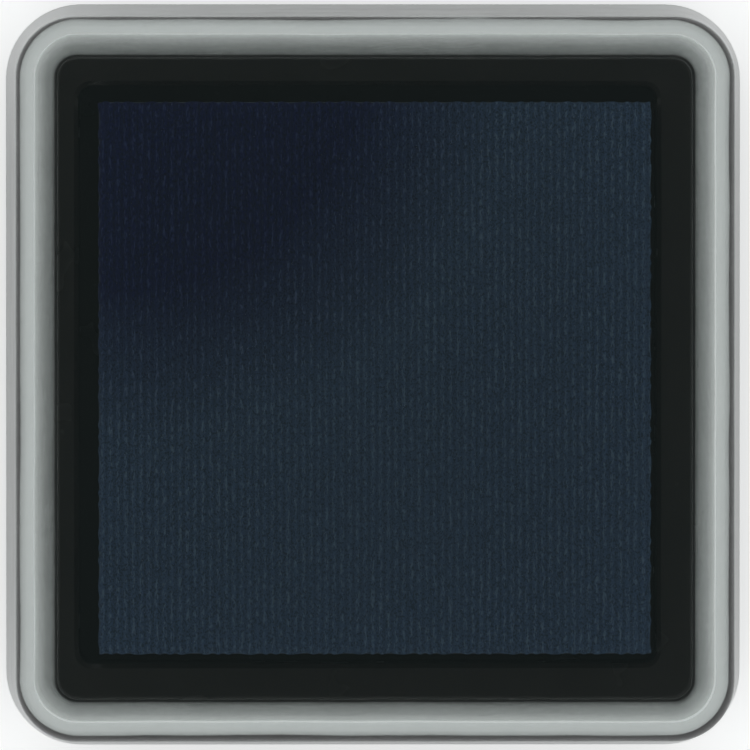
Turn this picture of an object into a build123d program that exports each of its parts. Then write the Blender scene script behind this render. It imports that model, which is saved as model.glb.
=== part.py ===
from build123d import *

import math
import os

# Small square ink pad: a clear lift-off lid over a black base with a raised fabric-topped pad.
# Millimetres, +Z up. The origin is the middle of the face that the pad stands on.

# --- Driving dimensions -------------------------------------------------------------------------

OVERALL_WIDTH = 33.6  # the lid's mouth, the widest thing on the object, in X
OVERALL_DEPTH = 33.9  # the same in Y
LONGER = OVERALL_DEPTH - OVERALL_WIDTH  # lid and base outlines are this much longer in Y than in X
OVERALL_HEIGHT = 19.0  # closed, foot to lid top
SHOULDER_Z = 7.0  # ledge of the base that the lid's mouth stands on
WALL = 1.2  # general wall of the black mouldings
CORNER_CENTRE = 13.35  # X of the points that every lid and base corner turns about

# Lid: one clear moulding, with walls that slope as much inside as outside
LID_TOP_WIDTH = 32.0
LID_DRAFT = math.degrees(
    math.atan2(OVERALL_WIDTH - LID_TOP_WIDTH, 2 * (OVERALL_HEIGHT - SHOULDER_Z))
)
LID_WALL = 0.85
LID_CEILING = 1.4  # thickness of the flat window
LID_EDGE_ROUND = 1.65  # outside edge round the window
LID_INSIDE_ROUND = 1.1  # inside edge round the window
LID_FOOT_ROUND = 0.2  # outside edge of the mouth
LID_LEAD_IN = 0.15  # chamfer inside the mouth

# Base: one black moulding, cored out from below. The lid's mouth overhangs it for a fingernail.
PLINTH_WIDTH = 32.9
PLINTH_ROUND = 0.15
FOOT_ROUND = 0.3
PLATFORM_TOP_Z = 13.2
PLATFORM_WIDTH = 29.1  # at its top
PLATFORM_DRAFT = 0.5
PLATFORM_ROUND = 0.35
WELL_WIDTH = 26.1
WELL_SHIFT = (-0.3, 0.12)  # the well is a little off the middle of the base
WELL_CORNER = 0.6
WELL_FLOOR_Z = 9.0
WELL_BREAK = 0.2  # chamfer round the mouth of the well
CORE_WIDTH = 26.7  # hollow under the well floor
CORE_CORNER = 0.8
WEB = 1.0  # cross webs in the hollow
BOSS_RADIUS = 2.3
BOSS_OFFSET = 8.0  # bosses stand at plus and minus this in X and Y

# Grip ribs on the platform that the lid slides over
RIB_WIDTH = 1.2
RIB_HEIGHT = 1.2
RIB_OFFSET = 7.5  # from the middle of each side
RIB_GAP = 0.15  # to the lid's wall
RIB_CHAMFER = 0.2

# Bottom plate: closes the hollow, and is set in so that the pad stands on the rim round it
FOOT_RIM = 0.5  # how far the plate is set in
PLATE_WIDTH = 31.2
PLATE_THICKNESS = 1.2
PLATE_SIDE_GAP = 0.1
PLATE_ROUND = 0.15
PIN_RADIUS = 1.0
PIN_LENGTH = 3.6
PIN_CHAMFER = 0.25
PIN_CLEARANCE = 0.03
PIN_HOLE_EXTRA = 0.4  # how much deeper the hole is than the pin is long

# Label, in a shallow recess under the bottom plate
LABEL_WIDTH = 25.0
LABEL_CORNER = 1.5
LABEL_THICKNESS = 0.1
LABEL_RECESS_GAP = 0.2
LABEL_RECESS_DEPTH = 0.15

# Pad: cloth on foam, held in the well by a square of double-sided tape
PAD_WIDTH = 24.8
PAD_PROUD = 1.8  # how far the cloth stands above the platform
FABRIC_THICKNESS = 0.35
TAPE_THICKNESS = 0.1
TAPE_WIDTH = 24.2

OUT = "parts"


# --- Shapes that repeat -------------------------------------------------------------------------


def at_height(z):
    """The horizontal plane at height z."""
    return Plane.XY.offset(z)


def block(width, low, high):
    """Upright block with rounded corners that share the lid's corner centres."""
    outline = RectangleRounded(width, width + LONGER, width / 2 - CORNER_CENTRE)
    return extrude(at_height(low) * outline, high - low)


def square_block(width, low, high, corner=0):
    """Upright square block with corners of the given radius, or sharp ones as a die cuts them."""
    outline = RectangleRounded(width, width, corner) if corner else Rectangle(width, width)
    return extrude(at_height(low) * outline, high - low)


def drafted_block(top_width, low, high, draft):
    """Block with rounded corners that widens downwards by draft degrees a side."""
    foot_width = top_width + 2 * math.tan(math.radians(draft)) * (high - low)
    foot, top = [
        at_height(z) * RectangleRounded(width, width + LONGER, width / 2 - CORNER_CENTRE)
        for width, z in ((foot_width, low), (top_width, high))
    ]
    return loft([foot, top], ruled=True)


def edges_at(shape, z, inner=False):
    """The loop of edges round a shape at height z: the outer loop, or the inner one."""
    faces = shape.faces().filter_by(Axis.Z).filter_by(lambda f: abs(f.center().Z - z) < 1e-4)
    face = faces.sort_by(SortBy.AREA)[-1]
    if inner:
        return face.inner_wires()[0].edges()
    return face.outer_wire().edges()


def four_corners(offset):
    """The four points at plus and minus offset."""
    return [(x, y) for x in (-offset, offset) for y in (-offset, offset)]


# --- The pieces ---------------------------------------------------------------------------------


def make_lid():
    """Clear cover: flat window with rounded edges, and walls that slope out to the mouth."""
    ceiling_z = OVERALL_HEIGHT - LID_CEILING
    outside = drafted_block(LID_TOP_WIDTH, SHOULDER_Z, OVERALL_HEIGHT, LID_DRAFT)
    outside = fillet(edges_at(outside, OVERALL_HEIGHT), LID_EDGE_ROUND)
    outside = fillet(edges_at(outside, SHOULDER_Z), LID_FOOT_ROUND)
    inside = drafted_block(LID_TOP_WIDTH - 2 * LID_WALL, SHOULDER_Z, ceiling_z, LID_DRAFT)
    inside = fillet(edges_at(inside, ceiling_z), LID_INSIDE_ROUND)
    lid = outside - inside
    return chamfer(edges_at(lid, SHOULDER_Z, inner=True), LID_LEAD_IN)


def lid_inside_half(z):
    """Half the width inside the lid, at height z."""
    drop = OVERALL_HEIGHT - LID_CEILING - z
    return LID_TOP_WIDTH / 2 - LID_WALL + math.tan(math.radians(LID_DRAFT)) * drop


def grip_ribs():
    """Two upright ribs on each side of the platform, which stop the lid from rattling."""
    top = SHOULDER_Z + RIB_HEIGHT
    face = lid_inside_half(top) - RIB_GAP
    root = PLATFORM_WIDTH / 2 - WALL / 2
    rib = Pos((face + root) / 2, 0, SHOULDER_Z + RIB_HEIGHT / 2) * Box(
        face - root, RIB_WIDTH, RIB_HEIGHT
    )
    outer_top = rib.faces().sort_by(Axis.X)[-1].edges().sort_by(Axis.Z)[-1]
    rib = chamfer(outer_top, RIB_CHAMFER)
    ribs = []
    for quarter in range(4):
        outwards = LONGER / 2 if quarter % 2 else 0
        for side in (-1, 1):
            ribs.append(Rot(0, 0, quarter * 90) * Pos(outwards, side * RIB_OFFSET, 0) * rib)
    return ribs


def make_base_shell():
    """Black base: plinth, shoulder, raised platform with the pad's well, and a hollow underneath."""
    plate_top = FOOT_RIM + PLATE_THICKNESS
    roof_z = SHOULDER_Z - WALL
    plinth = block(PLINTH_WIDTH, 0, SHOULDER_Z)
    plinth = fillet(edges_at(plinth, SHOULDER_Z), PLINTH_ROUND)
    plinth = fillet(edges_at(plinth, 0), FOOT_ROUND)
    platform = drafted_block(PLATFORM_WIDTH, SHOULDER_Z, PLATFORM_TOP_Z, PLATFORM_DRAFT)
    platform = fillet(edges_at(platform, PLATFORM_TOP_Z), PLATFORM_ROUND)
    shell = plinth + platform
    for rib in grip_ribs():
        shell += rib

    shell -= Pos(*WELL_SHIFT, 0) * square_block(WELL_WIDTH, WELL_FLOOR_Z, PLATFORM_TOP_Z, WELL_CORNER)
    shell = chamfer(edges_at(shell, PLATFORM_TOP_Z, inner=True), WELL_BREAK)

    shell -= block(PLATE_WIDTH + 2 * PLATE_SIDE_GAP, 0, plate_top)
    hollow = block(PLINTH_WIDTH - 2 * WALL, plate_top, roof_z)
    hollow += square_block(CORE_WIDTH, roof_z, WELL_FLOOR_Z - WALL, CORE_CORNER)
    shell -= hollow
    return shell + stiffeners(plate_top, hollow)


def stiffeners(low, hollow):
    """Cross webs and four bosses that fill part of the hollow and hold up the well floor."""
    high = WELL_FLOOR_Z - WALL
    middle, height = (low + high) / 2, high - low
    hole_depth = PIN_LENGTH + PIN_HOLE_EXTRA
    webs = Box(PLINTH_WIDTH, WEB, height) + Box(WEB, PLINTH_WIDTH, height)
    made = (Pos(0, 0, middle) * webs) & hollow
    for x, y in four_corners(BOSS_OFFSET):
        made += Pos(x, y, middle) * Cylinder(BOSS_RADIUS, height)
        made -= Pos(x, y, low + hole_depth / 2) * Cylinder(PIN_RADIUS + PIN_CLEARANCE, hole_depth)
    return made


def make_bottom_plate():
    """Flat plate with four pins that press into the base's bosses."""
    top = FOOT_RIM + PLATE_THICKNESS
    plate = block(PLATE_WIDTH, FOOT_RIM, top)
    plate = fillet(edges_at(plate, FOOT_RIM), PLATE_ROUND)
    plate -= square_block(
        LABEL_WIDTH + 2 * LABEL_RECESS_GAP,
        FOOT_RIM,
        FOOT_RIM + LABEL_RECESS_DEPTH,
        LABEL_CORNER + LABEL_RECESS_GAP,
    )
    pin = Cylinder(PIN_RADIUS, PIN_LENGTH, align=(Align.CENTER, Align.CENTER, Align.MIN))
    pin = chamfer(pin.edges().group_by(Axis.Z)[-1], PIN_CHAMFER)
    for x, y in four_corners(BOSS_OFFSET):
        plate += Pos(x, y, top) * pin
    return plate


def make_base_label():
    """Printed paper label, stuck in the bottom plate's recess."""
    top = FOOT_RIM + LABEL_RECESS_DEPTH
    return square_block(LABEL_WIDTH, top - LABEL_THICKNESS, top, LABEL_CORNER)


def make_pad_tape():
    """Square of double-sided tape between the well floor and the foam."""
    return square_block(TAPE_WIDTH, WELL_FLOOR_Z, WELL_FLOOR_Z + TAPE_THICKNESS)


def make_foam_core():
    """Ink-soaked foam, die-cut together with the cloth."""
    top = PLATFORM_TOP_Z + PAD_PROUD - FABRIC_THICKNESS
    return square_block(PAD_WIDTH, WELL_FLOOR_Z + TAPE_THICKNESS, top)


def make_pad_fabric():
    """Knitted cloth laminated on the foam, which the stamp touches."""
    top = PLATFORM_TOP_Z + PAD_PROUD
    return square_block(PAD_WIDTH, top - FABRIC_THICKNESS, top)


PIECES = {
    "lid": make_lid,
    "base_shell": make_base_shell,
    "bottom_plate": make_bottom_plate,
    "base_label": make_base_label,
    "pad_tape": make_pad_tape,
    "foam_core": make_foam_core,
    "pad_fabric": make_pad_fabric,
}


def main():
    os.makedirs(OUT, exist_ok=True)
    for node, make in PIECES.items():
        export_step(make(), f"{OUT}/{node}.step")


main()
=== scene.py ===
"""Closed ink pad: a clear lid over a black base that holds a navy rib-knit pad.

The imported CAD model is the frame. The lid, the cloth and the foam are rebuilt here in detail; the
black mouldings, the tape and the label keep their CAD shapes. Everything is in metres.
"""

import math

import bpy
import numpy as np
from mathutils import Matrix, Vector, noise


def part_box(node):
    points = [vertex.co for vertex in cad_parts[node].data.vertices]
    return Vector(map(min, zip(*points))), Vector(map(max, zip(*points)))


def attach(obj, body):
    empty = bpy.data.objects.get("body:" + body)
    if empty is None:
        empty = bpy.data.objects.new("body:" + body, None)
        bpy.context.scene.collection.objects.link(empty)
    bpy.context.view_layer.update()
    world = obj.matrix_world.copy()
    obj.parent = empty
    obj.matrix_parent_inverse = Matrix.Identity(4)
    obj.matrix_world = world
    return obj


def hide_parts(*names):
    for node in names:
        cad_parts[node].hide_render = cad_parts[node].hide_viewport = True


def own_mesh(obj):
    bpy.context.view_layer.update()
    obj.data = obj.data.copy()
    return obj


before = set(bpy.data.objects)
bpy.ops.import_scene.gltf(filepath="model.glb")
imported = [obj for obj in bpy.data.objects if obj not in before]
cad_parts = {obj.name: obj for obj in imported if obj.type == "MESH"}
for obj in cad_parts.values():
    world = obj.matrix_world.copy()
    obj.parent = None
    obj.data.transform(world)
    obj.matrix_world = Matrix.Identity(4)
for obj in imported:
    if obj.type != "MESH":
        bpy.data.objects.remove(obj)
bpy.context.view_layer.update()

MM = 0.001

# --- Sizes that follow the CAD nodes ------------------------------------------------------------

LID_LOW, LID_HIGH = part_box("lid")
CLOTH_LOW, CLOTH_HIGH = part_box("pad_fabric")
FOAM_LOW, FOAM_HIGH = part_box("foam_core")

MOUTH_Z = LID_LOW.z  # the lid's lower face
TOP_Z = LID_HIGH.z  # the lid's window

# The lid's section, as in its CAD solid
CORNER_CENTRE = 13.35 * MM  # X of the points that all the lid's corners turn about
LONGER = LID_HIGH.y - LID_HIGH.x  # how much further the lid reaches in Y than in X, at each end
MOUTH_HALF = 16.8 * MM  # half the width over the mouth, before its edge is rounded
TOP_HALF = 16.0 * MM  # half the width over the walls, at the window
LID_SLOPE = (MOUTH_HALF - TOP_HALF) / (TOP_Z - MOUTH_Z)
LID_WALL = 0.85 * MM
LID_CEILING = 1.4 * MM
EDGE_ROUND = 1.65 * MM
INSIDE_ROUND = 1.1 * MM
FOOT_ROUND = 0.2 * MM
LEAD_IN = 0.15 * MM
SUPPORT = 0.04 * MM  # from the end of a straight run of the section to the ring that keeps it flat
SINK = 0.01 * MM  # how far the inner surfaces wander, as thick clear mouldings do

# The knit
WALE = 0.347 * MM  # one upright rib
COURSE = 0.437 * MM  # one stitch along a rib
WALE_STEPS = 4  # mesh columns for each rib
COURSE_STEPS = 5  # mesh rows for each stitch
RIB_DEPTH = 0.10 * MM
TUCK_DEPTH = 0.09 * MM  # how far the cloth is pressed down at its die-cut edge
TUCK_REACH = 0.16 * MM  # how quickly that dies away inwards
FRAY = 0.035 * MM  # how far the cut edge wanders sideways

# The cloth is painted darker and bluer round a point off one corner of it, a painted reflection of the
# dark camera there, and lighter and greyer further off, a painted reflection of the bright
# surroundings
DARK_REFLECTION_X = -11.0 * MM
DARK_REFLECTION_Y = 14.7 * MM
REFLECTION_REACH = 13.9 * MM  # from that point to the middle of the painted reflection's soft edge
REFLECTION_EDGE = 3.4 * MM  # half the width of that edge
REFLECTION_WANDER = 2.0 * MM  # how far the edge wanders

# The foam
FOAM_CELLS = 3600.0  # cells in a metre
FOAM_WAIST = 0.12 * MM  # how far the cut sides are pulled in at half height
FOAM_PITS = 0.07 * MM  # depth of the cells along the cut sides
FOAM_SIDE_STEPS = 110
FOAM_RISE_STEPS = 26

# --- Materials: helpers -------------------------------------------------------------------------


class Nodes:
    """Short names for building one material's node tree."""

    def __init__(self, name):
        self.material = bpy.data.materials.new(name)
        self.material.use_nodes = True
        self.tree = self.material.node_tree
        self.tree.nodes.clear()
        self.output = self.tree.nodes.new("ShaderNodeOutputMaterial")

    def set(self, socket, value):
        """Joins a socket to another socket, or gives it a plain value."""
        if isinstance(value, bpy.types.NodeSocket):
            self.tree.links.new(value, socket)
        else:
            socket.default_value = value

    def add(self, kind, inputs=(), **settings):
        """A new node with its settings and its inputs."""
        node = self.tree.nodes.new(kind)
        for key, value in settings.items():
            setattr(node, key, value)
        for key, value in dict(inputs).items():
            self.set(node.inputs[key], value)
        return node

    def place(self, scale=(1.0, 1.0, 1.0)):
        """Object coordinates in metres, stretched by scale."""
        coordinates = self.add("ShaderNodeTexCoord").outputs["Object"]
        inputs = {"Vector": coordinates, "Scale": scale}
        return self.add("ShaderNodeMapping", inputs).outputs["Vector"]

    def noise(self, scale, detail=2.0, roughness=0.5, stretch=(1.0, 1.0, 1.0)):
        """Noise from 0 to 1 with features about 1/scale metres across."""
        inputs = {"Vector": self.place(stretch), "Scale": scale, "Detail": detail,
                  "Roughness": roughness}
        return self.add("ShaderNodeTexNoise", inputs).outputs["Fac"]

    def remap(self, value, low, high, to_low, to_high):
        """A value from low to high, moved to run from to_low to to_high, and held at those ends."""
        inputs = {"Value": value, "From Min": low, "From Max": high, "To Min": to_low,
                  "To Max": to_high}
        return self.add("ShaderNodeMapRange", inputs).outputs["Result"]

    def math(self, operation, *values):
        """One arithmetic step on sockets or plain numbers."""
        inputs = dict(enumerate(values))
        return self.add("ShaderNodeMath", inputs, operation=operation).outputs[0]

    def mix(self, factor, a, b, blend="MIX"):
        """Colour a where factor is 0 and, blended in, colour b where it is 1."""
        node = self.add("ShaderNodeMix", data_type="RGBA", blend_type=blend)
        self.set(node.inputs[0], factor)
        self.set(node.inputs[6], a)
        self.set(node.inputs[7], b)
        return node.outputs[2]

    def bump(self, height, strength, distance):
        """Surface normal tilted by small relief. distance is the metres that one unit of height is."""
        inputs = {"Height": height, "Strength": strength, "Distance": distance}
        return self.add("ShaderNodeBump", inputs).outputs["Normal"]

    def principled(self, inputs):
        return self.add("ShaderNodeBsdfPrincipled", inputs).outputs[0]

    def finish(self, shader):
        """Joins the shader to the output and gives back the material."""
        self.set(self.output.inputs["Surface"], shader)
        return self.material


def rgb(red, green, blue):
    """An opaque colour."""
    return (red, green, blue, 1.0)


# --- Materials ----------------------------------------------------------------------------------


def clear_styrene():
    """Clear moulded polystyrene, grey-green through its depth, with flow waves and dull scuffs."""
    n = Nodes("clear_styrene")
    waves = n.noise(300.0, detail=1.0)
    scuffs = n.noise(3000.0, detail=3.0, roughness=0.7)
    height = n.math("MULTIPLY_ADD", scuffs, 0.03, waves)
    shader = n.principled({
        "Base Color": rgb(0.985, 0.995, 0.99),
        "Roughness": n.remap(scuffs, 0.6, 0.8, 0.0, 0.12),
        "IOR": 1.59,
        "Transmission Weight": 1.0,
        "Normal": n.bump(height, 0.02, 0.0004),
    })
    tint = {"Color": rgb(0.454, 0.50, 0.485), "Density": 400.0}
    n.set(n.output.inputs["Volume"], n.add("ShaderNodeVolumeAbsorption", tint).outputs[0])
    clear = n.add("ShaderNodeBsdfTransparent", {"Color": rgb(0.88, 0.91, 0.9)}).outputs[0]
    shadow_ray = n.add("ShaderNodeLightPath").outputs["Is Shadow Ray"]
    return n.finish(n.add("ShaderNodeMixShader", {0: shadow_ray, 1: shader, 2: clear}).outputs[0])


def black_moulding():
    """Black polystyrene with a satin moulded skin."""
    n = Nodes("black_moulding")
    grain = n.noise(7000.0, detail=2.0)
    cloud = n.noise(300.0, detail=3.0)
    return n.finish(n.principled({
        "Base Color": n.mix(cloud, rgb(0.0106, 0.0082, 0.0074), rgb(0.0124, 0.0098, 0.0089)),
        "Roughness": n.remap(cloud, 0.3, 0.7, 0.2, 0.28),
        "Specular IOR Level": 0.25,
        "Normal": n.bump(grain, 0.1, 0.00003),
    }))


def inked_cloth():
    """Navy ink in fine polyester knit, with painted shade between the ribs and in the gaps between
    stitches, painted glints as pale dashes on the rib crests, and a painted reflection that leaves it
    darker and bluer round one corner.
    """
    n = Nodes("inked_cloth")
    edge_wander = n.noise(130.0, detail=3.0)
    dashes = n.noise(13000.0, detail=1.0, stretch=(1.0, 0.25, 1.0))
    stitch_gap_shade = n.noise(13000.0, detail=1.0, stretch=(1.0, 0.7, 1.0))
    fibres = n.noise(20000.0, detail=2.0, roughness=0.65)
    split = n.add("ShaderNodeSeparateXYZ", {0: n.place()})
    across = split.outputs["X"]
    # Painted reflection: the cloth's colour turns lighter and greyer with distance from the point
    # where the dark camera is reflected
    aside = n.math("SUBTRACT", across, DARK_REFLECTION_X)
    above = n.math("SUBTRACT", split.outputs["Y"], DARK_REFLECTION_Y)
    away = n.math("SQRT", n.math("ADD", n.math("MULTIPLY", aside, aside),
                                 n.math("MULTIPLY", above, above)))
    ragged = n.math("MULTIPLY_ADD", n.math("SUBTRACT", edge_wander, 0.5), REFLECTION_WANDER, away)
    reflection_mask = n.remap(ragged, REFLECTION_REACH - REFLECTION_EDGE, REFLECTION_REACH + REFLECTION_EDGE, 0.0, 1.0)
    turn = 2 * math.pi / WALE
    wave = n.math("COSINE", n.math("MULTIPLY_ADD", across, turn, -turn * CLOTH_LOW.x - math.pi))
    crest = n.remap(wave, -1.0, 1.0, 0.0, 1.0)
    # Painted glints: pale dashes on the rib crests; the lower roughness there is real gloss
    glint_mask = n.math("MULTIPLY", crest, n.remap(dashes, 0.52, 0.68, 0.0, 0.7))
    # Painted shade: darker in the valleys between the ribs and in the gaps between stitches; the fibre
    # noise is the threads' own random tone
    body = n.math("MULTIPLY", n.remap(crest, 0.0, 1.0, 0.8, 1.0),
                  n.remap(stitch_gap_shade, 0.36, 0.5, 0.5, 1.0))
    fibre_tone_and_shade = n.math("MULTIPLY", body, n.remap(fibres, 0.3, 0.7, 0.8, 1.2))
    # Painted reflection: each colour runs from the darker, bluer corner to the lighter, greyer rest,
    # over the ink's own navy
    ink = n.mix(reflection_mask, rgb(0.0020, 0.0045, 0.0430), rgb(0.0350, 0.0610, 0.1130))
    # Painted glint colour, pale, for the dashes
    glint_colour = n.mix(reflection_mask, rgb(0.0250, 0.0370, 0.1050), rgb(0.0950, 0.1330, 0.1850))
    return n.finish(n.principled({
        "Base Color": n.mix(glint_mask, n.mix(1.0, ink, fibre_tone_and_shade, "MULTIPLY"), glint_colour),
        "Roughness": n.remap(dashes, 0.4, 0.7, 0.6, 0.4),
        "Specular IOR Level": 0.1,
        "Normal": n.bump(fibres, 0.4, 0.00002),
    }))


def inked_foam():
    """Open-cell foam soaked in navy ink: pits with painted shade, darker than the web of struts round
    them.
    """
    n = Nodes("inked_foam")
    place = n.place()
    cells = n.add("ShaderNodeTexVoronoi", {"Vector": place, "Scale": FOAM_CELLS},
                  feature="SMOOTH_F1").outputs["Distance"]
    pits = n.remap(cells, 0.15, 0.6, 0.0, 1.0)
    return n.finish(n.principled({
        # Painted shade: darker at the middle of each pit; the pits' relief is the bump
        "Base Color": n.mix(pits, rgb(0.004, 0.006, 0.013), rgb(0.013, 0.019, 0.038)),
        "Roughness": 0.55,
        "Normal": n.bump(pits, 0.8, 0.0001),
    }))


def tape_film():
    """Double-sided film tape, milky, with faint wrinkles."""
    n = Nodes("tape_film")
    wrinkles = n.noise(900.0, detail=2.0, stretch=(1.0, 0.2, 1.0))
    return n.finish(n.principled({
        "Base Color": n.mix(wrinkles, rgb(0.5, 0.5, 0.46), rgb(0.62, 0.62, 0.57)),
        "Roughness": 0.35,
        "Normal": n.bump(wrinkles, 0.3, 0.00005),
    }))


def label_print():
    """Coated paper with a navy square inside a thin frame line, to show the ink's colour."""
    n = Nodes("label_print")
    paper = n.noise(2500.0, detail=4.0)
    split = n.add("ShaderNodeSeparateXYZ", {0: n.place()})
    across = n.math("ABSOLUTE", split.outputs["X"])
    along = n.math("ABSOLUTE", split.outputs["Y"])
    reach = n.math("MAXIMUM", across, along)
    patch = n.math("LESS_THAN", reach, 6.0 * MM)
    line = n.math("COMPARE", reach, 10.5 * MM, 0.15 * MM)
    white = n.mix(paper, rgb(0.74, 0.73, 0.70), rgb(0.82, 0.81, 0.78))
    printed = n.mix(n.math("MAXIMUM", patch, line), white, rgb(0.012, 0.022, 0.075))
    return n.finish(n.principled({
        "Base Color": printed,
        "Roughness": n.remap(paper, 0.3, 0.7, 0.4, 0.55),
        "Normal": n.bump(paper, 0.1, 0.00002),
    }))


def floor_paint():
    """White matt surface that also glows a little to the eye, as a light table does."""
    n = Nodes("floor_paint")
    cloud = n.noise(20.0)
    matt = n.principled({
        "Base Color": n.mix(cloud, rgb(0.88, 0.88, 0.88), rgb(0.9, 0.9, 0.9)),
        "Roughness": 0.95,
        "Specular IOR Level": 0.0,
    })
    glow = n.add("ShaderNodeEmission", {"Strength": 0.35}).outputs[0]
    both = n.add("ShaderNodeAddShader", {0: matt, 1: glow}).outputs[0]
    seen = n.add("ShaderNodeLightPath").outputs["Is Camera Ray"]
    return n.finish(n.add("ShaderNodeMixShader", {0: seen, 1: matt, 2: both}).outputs[0])


# --- Shapes -------------------------------------------------------------------------------------

CORNER_STEPS = 16  # mesh columns round one of the lid's corners
SIDE_STEPS = 40  # and along one of its sides


def mesh_object(name, vertices, faces, material, smooth=True):
    """A new mesh with one material."""
    mesh = bpy.data.meshes.new(name)
    mesh.from_pydata(vertices, [], faces)
    mesh.update()
    mesh.materials.append(material)
    mesh.polygons.foreach_set("use_smooth", [smooth] * len(mesh.polygons))
    obj = bpy.data.objects.new(name, mesh)
    bpy.context.scene.collection.objects.link(obj)
    return obj


def ring(half, z, sink=0.0):
    """Points of one outline of the lid, anticlockwise. sink is how far it wanders inwards."""
    radius = half - CORNER_CENTRE
    quarter = [
        (half, -CORNER_CENTRE + 2 * CORNER_CENTRE * i / SIDE_STEPS) for i in range(SIDE_STEPS)
    ]
    for i in range(CORNER_STEPS):
        angle = math.radians(90 * i / CORNER_STEPS)
        quarter.append(
            (CORNER_CENTRE + radius * math.cos(angle), CORNER_CENTRE + radius * math.sin(angle))
        )
    points = []
    for turns in range(4):
        for x, y in quarter:
            for _ in range(turns):
                x, y = -y, x
            if sink:
                wander = 1 - sink * (0.5 + noise.noise(Vector((x, y, z)) * 350)) / half
                x, y = x * wander, y * wander
            reach = max(-1.0, min(1.0, y / CORNER_CENTRE))
            points.append((x, y + reach * LONGER, z))
    return points


def lid_round(side, z, radius, start, end, steps):
    """(half width, z) along a round tangent to a wall, with its centre at height z.

    side gives the wall's half width at a height. The angles are in degrees up from outwards.
    """
    centre = side(z) - radius * math.hypot(1, LID_SLOPE)
    found = []
    for i in range(steps + 1):
        angle = math.radians(start + (end - start) * i / steps)
        found.append((centre + radius * math.cos(angle), z + radius * math.sin(angle)))
    return found


def lid_outside(z):
    """Half the width over the lid's walls at height z."""
    return TOP_HALF + LID_SLOPE * (TOP_Z - z)


def lid_inside(z):
    """Half the width between the lid's walls at height z."""
    return TOP_HALF - LID_WALL + LID_SLOPE * (TOP_Z - LID_CEILING - z)


def outer_section():
    """The lid's section from the edge of the window down to the mouth."""
    wall_angle = math.degrees(math.atan(LID_SLOPE))
    edge = lid_round(lid_outside, TOP_Z - EDGE_ROUND, EDGE_ROUND, 90, wall_angle, 24)
    foot = lid_round(lid_outside, MOUTH_Z + FOOT_ROUND, FOOT_ROUND, wall_angle, -90, 8)
    window = (edge[0][0] - SUPPORT, TOP_Z)
    return [window] + edge + foot


def inner_section():
    """The lid's section from the mouth up to the inner edge of the window."""
    ceiling_z = TOP_Z - LID_CEILING
    wall_angle = math.degrees(math.atan(LID_SLOPE))
    turn = lid_round(lid_inside, ceiling_z - INSIDE_ROUND, INSIDE_ROUND, wall_angle, 90, 20)
    mouth = (lid_inside(MOUTH_Z) + LEAD_IN, MOUTH_Z)
    lead_in = (lid_inside(MOUTH_Z + LEAD_IN), MOUTH_Z + LEAD_IN)
    ceiling = (turn[-1][0] - SUPPORT, ceiling_z)
    return [mouth, lead_in] + turn + [ceiling]


def supported(section):
    """The section with extra points near the ends of its straight runs, which keep them flat."""
    found = [section[0]]
    for start, end in zip(section, section[1:]):
        length = math.dist(start, end)
        if length > 3 * SUPPORT:
            for near in (SUPPORT / length, 1 - SUPPORT / length):
                found.append(tuple(a + (b - a) * near for a, b in zip(start, end)))
        found.append(end)
    return found


def build_lid(material):
    """Clear lid, swept round its corners and closed with two flat faces."""
    outer = outer_section()
    inner = inner_section()
    section = supported(outer + inner)
    turn = section.index(inner[0])
    rings = [ring(half, z) for half, z in section[:turn]]
    rings += [ring(half, z, SINK) for half, z in section[turn:]]
    count = len(rings[0])
    vertices = [point for loop in rings for point in loop]
    faces = [tuple(range(count))]
    for i in range(len(rings) - 1):
        for j in range(count):
            k = (j + 1) % count
            faces.append((i * count + j, (i + 1) * count + j, (i + 1) * count + k, i * count + k))
    last = (len(rings) - 1) * count
    faces.append(tuple(last + j for j in reversed(range(count))))
    lid = mesh_object("clear_lid", vertices, faces, material)
    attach(lid, "lid")
    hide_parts("lid")


def stitch_height(x, y, draw):
    """Height of the knit above its valleys, from 0 to 1, at points given as two arrays."""
    wale = (x - CLOTH_LOW.x) / WALE
    course = (y - CLOTH_LOW.y) / COURSE + 0.5 * (np.floor(wale) % 2)
    column = np.floor(wale).astype(int)
    row = np.floor(course).astype(int)
    along = course - row
    lean = 0.22 * (along - 0.5)
    across = wale - column - 0.5 - lean
    rib = np.cos(np.pi * np.clip(across, -0.5, 0.5)) ** 1.3
    loop = np.sin(np.pi * along) ** 0.7
    shape = draw.uniform(0.0, 1.0, (column.max() + 2, row.max() + 2))
    lift = 0.55 + 0.45 * shape[column, row]
    return rib * (0.35 + 0.65 * loop * lift)


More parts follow.
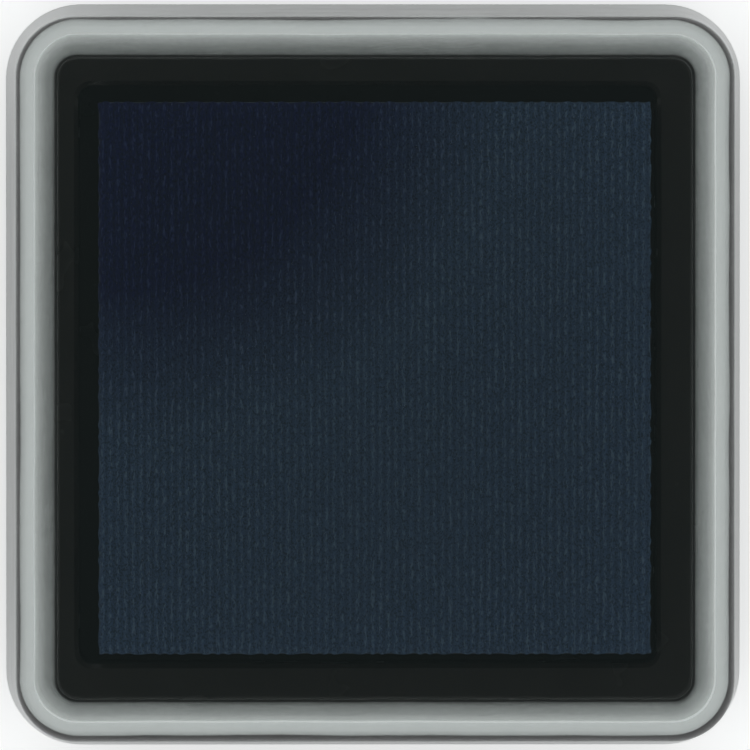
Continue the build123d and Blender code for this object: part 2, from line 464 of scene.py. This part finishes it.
def build_cloth(material):
    """Rib-knit cloth: a raised top of leaning stitches, a plain back, and a die-cut edge."""
    draw = np.random.RandomState(seed=7)
    size = CLOTH_HIGH - CLOTH_LOW
    columns = round(size.x / WALE * WALE_STEPS)
    rows = round(size.y / COURSE * COURSE_STEPS)
    xs = np.linspace(CLOTH_LOW.x, CLOTH_HIGH.x, columns + 1)
    ys = np.linspace(CLOTH_LOW.y, CLOTH_HIGH.y, rows + 1)
    x, y = np.meshgrid(xs, ys)
    edge = np.minimum(np.minimum(x - CLOTH_LOW.x, CLOTH_HIGH.x - x),
                      np.minimum(y - CLOTH_LOW.y, CLOTH_HIGH.y - y))
    tuck = np.exp(-edge / TUCK_REACH)
    z = CLOTH_HIGH.z - RIB_DEPTH * (1 - stitch_height(x, y, draw)) - TUCK_DEPTH * tuck
    fray = FRAY * tuck
    x = x + fray * np.sin(y / (0.13 * MM) + 2.0 * np.sin(y / (0.41 * MM)))
    y = y + fray * np.sin(x / (0.11 * MM) + 2.0 * np.sin(x / (0.37 * MM)))
    top = np.stack([x, y, z], -1).reshape(-1, 3)
    width = columns + 1
    index = np.arange((rows + 1) * width).reshape(rows + 1, width)
    quads = np.stack([index[:-1, :-1], index[:-1, 1:], index[1:, 1:], index[1:, :-1]], -1)
    faces = quads.reshape(-1, 4).tolist()
    rim = np.concatenate([index[0, :-1], index[:-1, -1], index[-1, :0:-1], index[:0:-1, 0]])
    foot = top[rim].copy()
    foot[:, 2] = CLOTH_LOW.z
    start = len(top)
    count = len(rim)
    for i in range(count):
        j = (i + 1) % count
        faces.append([int(rim[i]), start + i, start + j, int(rim[j])])
    faces.append([start + i for i in reversed(range(count))])
    cloth = mesh_object("knit_cloth", np.vstack([top, foot]).tolist(), faces, material)
    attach(cloth, "pad_face")
    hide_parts("pad_fabric")


def build_foam(material):
    """Open-cell foam block: cut sides with pits, pulled in a little below the cloth."""
    low, high = FOAM_LOW, FOAM_HIGH
    middle = (low + high) / 2
    half = (high - low) / 2
    outline = []
    for turns in range(4):
        for i in range(FOAM_SIDE_STEPS):
            x, y = 1.0, -1.0 + 2.0 * i / FOAM_SIDE_STEPS
            for _ in range(turns):
                x, y = -y, x
            outline.append((x, y))
    vertices = []
    for level in range(FOAM_RISE_STEPS + 1):
        t = level / FOAM_RISE_STEPS
        z = low.z + (high.z - low.z) * t
        waist = FOAM_WAIST * math.sin(math.pi * t)
        for x, y in outline:
            point = Vector((middle.x + x * half.x, middle.y + y * half.y, z))
            pit = FOAM_PITS * (0.5 + 0.5 * noise.noise(point * FOAM_CELLS)) * (0.0 < t < 1.0)
            inset = 1 - (waist + pit) / half.x
            vertices.append((middle.x + x * half.x * inset, middle.y + y * half.y * inset, z))
    count = len(outline)
    faces = []
    for level in range(FOAM_RISE_STEPS):
        for j in range(count):
            k = (j + 1) % count
            a, b = level * count, (level + 1) * count
            faces.append((a + j, a + k, b + k, b + j))
    faces.append(tuple(reversed(range(count))))
    faces.append(tuple(FOAM_RISE_STEPS * count + j for j in range(count)))
    foam = mesh_object("foam_block", vertices, faces, material)
    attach(foam, "base")
    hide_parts("foam_core")
    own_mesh(foam)


# --- Scene --------------------------------------------------------------------------------------

CAMERA_HEIGHT = 470 * MM  # above the floor
CAMERA_LEFT = 4.4 * MM  # from straight above the middle of the lid
CAMERA_BACK = 9.0 * MM
FRAME_SHARE = 0.97867  # how much of the picture's width the lid fills
AIM_RIGHT = 0.00267  # how far the picture's middle is to the right of the lid's, in picture widths
AIM_DOWN = 0.00067  # and how far below it
FLOOR_HALF = 3.0  # half the floor's width


def build_floor():
    """Flat square under the pad, for the views only."""
    signs = ((-1, -1), (1, -1), (1, 1), (-1, 1))
    corners = [(x * FLOOR_HALF, y * FLOOR_HALF, 0) for x, y in signs]
    mesh_object("floor", corners, [(0, 1, 2, 3)], floor_paint(), smooth=False)


def build_world():
    """White surroundings, dimmer straight above, where the camera and its stand are."""
    world = bpy.data.worlds.new("studio")
    world.use_nodes = True
    tree = world.node_tree
    tree.nodes.clear()
    out = tree.nodes.new("ShaderNodeOutputWorld")
    back = tree.nodes.new("ShaderNodeBackground")
    place = tree.nodes.new("ShaderNodeTexCoord")
    flatten = tree.nodes.new("ShaderNodeVectorMath")
    length = tree.nodes.new("ShaderNodeVectorMath")
    ramp = tree.nodes.new("ShaderNodeValToRGB")
    flatten.operation = "MULTIPLY"
    flatten.inputs[1].default_value = (1, 1, 0)
    length.operation = "LENGTH"
    tree.links.new(place.outputs["Generated"], flatten.inputs[0])
    tree.links.new(flatten.outputs[0], length.inputs[0])
    tree.links.new(length.outputs["Value"], ramp.inputs[0])
    tree.links.new(ramp.outputs[0], back.inputs[0])
    tree.links.new(back.outputs[0], out.inputs[0])
    # Colour by how far a direction is from straight up or down, from 0 to 1 at the horizon
    dim = (0.08, 0.105, 0.105)
    stops = [
        (0.0, dim),
        (0.2, dim),
        (0.42, (0.52, 0.53, 0.53)),
        (0.55, (0.98, 1.0, 1.0)),
        (0.8, (1.08, 1.1, 1.1)),
        (1.0, (0.98, 1.0, 1.0)),
    ]
    elements = ramp.color_ramp.elements
    while len(elements) < len(stops):
        elements.new(0.5)
    for element, (position, _) in zip(elements, stops):
        element.position = position
    for element, (_, color) in zip(elements, stops):
        element.color = (*color, 1)
    bpy.context.scene.world = world


def build_camera():
    """Camera high over the lid, leaned a little to point at its middle, with no roll."""
    data = bpy.data.cameras.new("camera")
    camera = bpy.data.objects.new("camera", data)
    bpy.context.scene.collection.objects.link(camera)
    seen = 2 * MOUTH_HALF / FRAME_SHARE
    place = Vector((-CAMERA_LEFT, CAMERA_BACK, CAMERA_HEIGHT))
    aim = Vector((AIM_RIGHT * seen, -AIM_DOWN * seen, MOUTH_Z))
    camera.location = place
    lean_back = math.atan2(aim.y - place.y, place.z - aim.z)
    lean_right = math.atan2(place.x - aim.x, place.z - aim.z)
    camera.rotation_euler = (lean_back, lean_right, 0)
    data.sensor_width = 36.0
    data.lens = 36.0 * (place - aim).length / seen
    bpy.context.scene.camera = camera


def paint(material, *nodes):
    """Gives CAD nodes one material in place of their own."""
    for name in nodes:
        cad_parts[name].data.materials.clear()
        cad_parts[name].data.materials.append(material)


def main():
    """Builds the pieces, the floor, the surroundings and the camera."""
    build_camera()
    paint(black_moulding(), "base_shell", "bottom_plate")
    paint(tape_film(), "pad_tape")
    paint(label_print(), "base_label")
    build_foam(inked_foam())
    build_cloth(inked_cloth())
    build_lid(clear_styrene())
    build_floor()
    build_world()
    bpy.context.scene.view_settings.view_transform = "Standard"


main()
